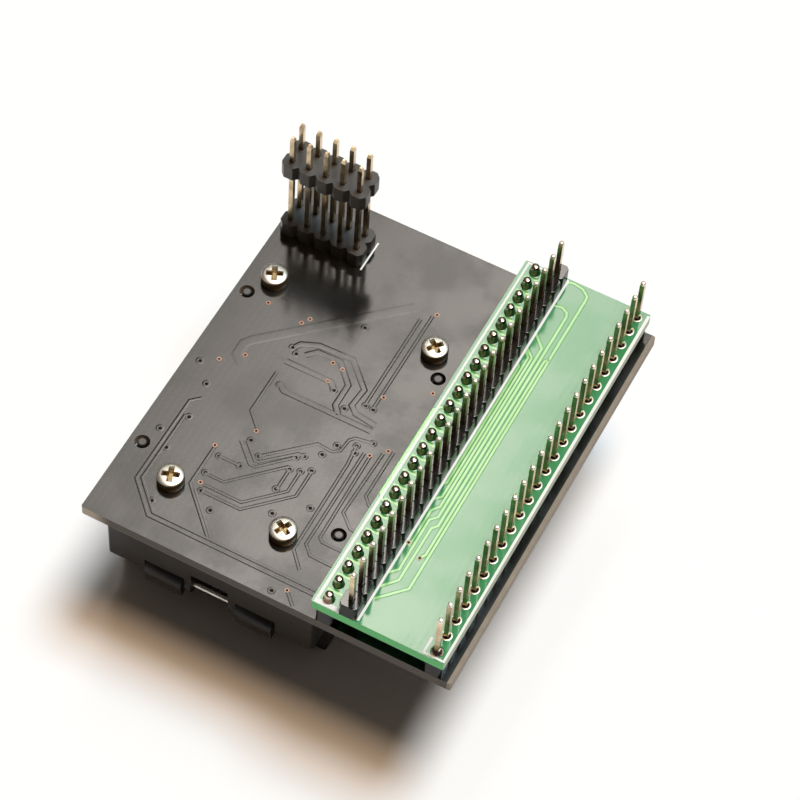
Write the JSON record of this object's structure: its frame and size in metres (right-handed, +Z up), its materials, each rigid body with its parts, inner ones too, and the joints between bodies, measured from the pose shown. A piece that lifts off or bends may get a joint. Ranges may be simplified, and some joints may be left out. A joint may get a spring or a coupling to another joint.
{
  "type": "ic programming adapter",
  "caption": "Programming adapter: a hinged clamshell chip socket under a black board, with a green plug board carrying long pin rows and a tall side header.",
  "frame": {"origin": "centre of the footprint, on the lid's outer face that lies on the bench", "axes": "+Z up along the plug pins, away from the lid; +Y along the pin rows, from the hinge towards the latch; +X from the socket towards the plug board"},
  "size_m": [0.0536, 0.061, 0.0438],
  "materials": {
    "socket_plastic": "fine matte moulded black",
    "block_plastic": "machined dark brown plastic",
    "strip_plastic": "matte moulded black",
    "black_board": "satin black solder mask, tan edges",
    "green_board": "glossy green solder mask",
    "pin_brass": "gold flash over brass",
    "solder": "bright tin solder",
    "screw_nickel": "nickel plate",
    "steel": "ground steel",
    "plate_aluminium": "bead blasted"
  },
  "bodies": {
    "lid": {"lid_shell": "socket_plastic", "hinge_pin": "steel", "latch_pin": "steel", "plate_springs": "steel"},
    "latch": {"latch_lever": "socket_plastic"},
    "pressure": {"pressure_plate": "plate_aluminium", "plate_screws": "screw_nickel"},
    "base": {"socket_base": "socket_plastic", "contact_block": "block_plastic", "contact_probes": "pin_brass", "block_screws": "screw_nickel", "nest_springs": "steel", "screw_inserts": "pin_brass", "mounting_screws": "screw_nickel", "main_board": "black_board", "plug_board": "green_board", "joint_row_strip": "strip_plastic", "right_row_strip": "strip_plastic", "left_plug_strip": "strip_plastic", "joint_row_pins": "pin_brass", "right_plug_pins": "pin_brass", "left_plug_pins": "pin_brass", "joint_row_solder": "solder", "right_row_solder": "solder", "left_row_solder": "solder", "main_board_solder": "solder", "aux_lower_moulding": "strip_plastic", "aux_upper_moulding": "strip_plastic", "aux_pins": "pin_brass"},
    "nest": {"ic_nest": "socket_plastic"}
  },
  "joints": [
    {"name": "socket_hinge", "type": "hinge", "parent": "lid", "child": "base", "pos_m": [-0.01034, -0.02501, 0.0076], "axis": [1, 0, 0], "range_deg": [0, 90]},
    {"name": "latch_swing", "type": "hinge", "parent": "lid", "child": "latch", "pos_m": [-0.01034, 0.01609, 0.0034], "axis": [-1, 0, 0], "range_deg": [-9, 16]},
    {"name": "pressure_float", "type": "slide", "parent": "lid", "child": "pressure", "axis": [0, 0, -1], "range_m": [0, 0.0008], "stiffness_N_per_m": 2000, "springref_m": -0.0008, "deforming": ["plate_springs"]},
    {"name": "nest_float", "type": "slide", "parent": "base", "child": "nest", "axis": [0, 0, 1], "range_m": [0, 0.0006], "stiffness_N_per_m": 1000, "springref_m": -0.0006, "deforming": ["nest_springs"]}
  ]
}
